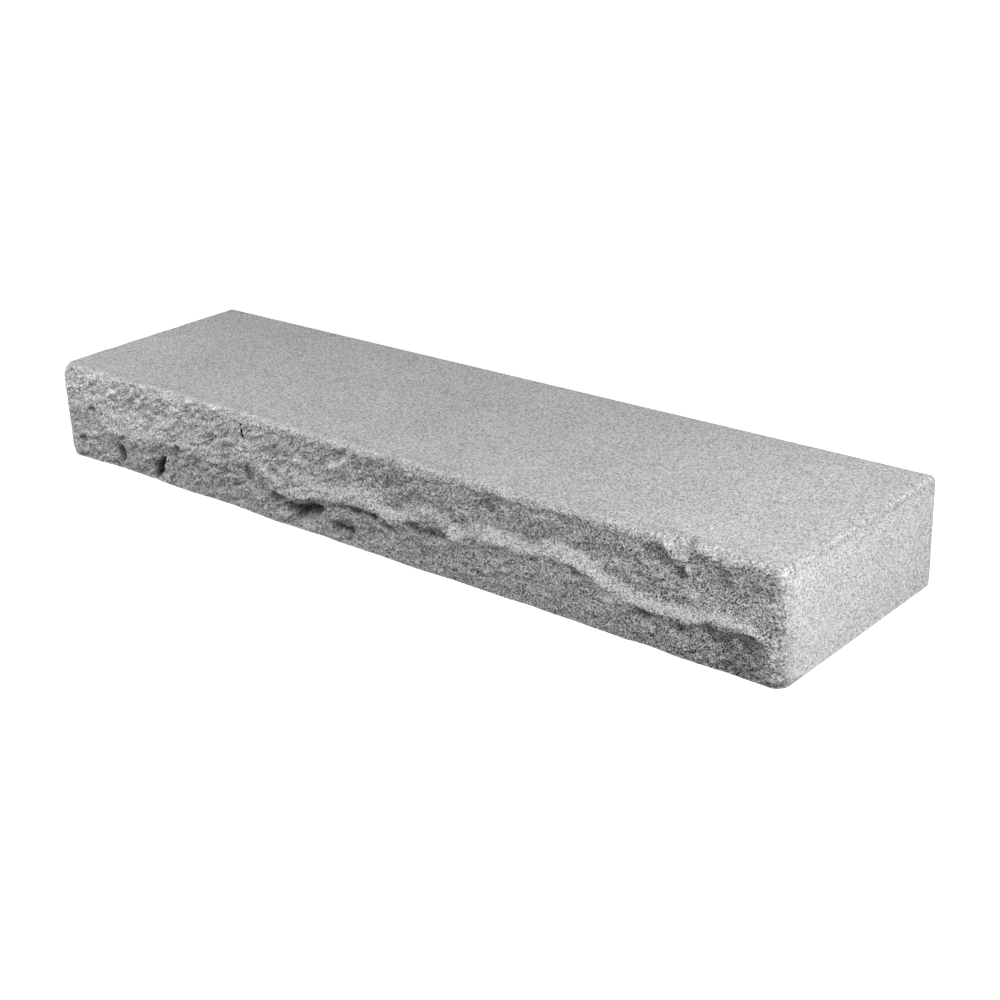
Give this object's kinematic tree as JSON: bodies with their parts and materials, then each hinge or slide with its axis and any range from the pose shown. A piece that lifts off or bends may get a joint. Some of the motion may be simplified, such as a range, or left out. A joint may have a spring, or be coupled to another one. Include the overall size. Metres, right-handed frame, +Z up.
{
  "type": "granite step",
  "caption": "One-piece granite block step with a flamed tread and ends, a hand-pitched rock face along the riser, and a sawn bed and back.",
  "frame": {"origin": "centre of the bed, at the middle of the box round the stone", "axes": "+X along the step, to the right as seen from the riser; +Y from the pitched riser towards the sawn back; +Z up, out of the tread"},
  "size_m": [1.3, 0.355, 0.15],
  "materials": {
    "granite": "flamed grey granite, medium grained, matt, with a split rock face along the riser"
  },
  "bodies": {
    "root": {"granite_step": "granite"}
  },
  "joints": []
}
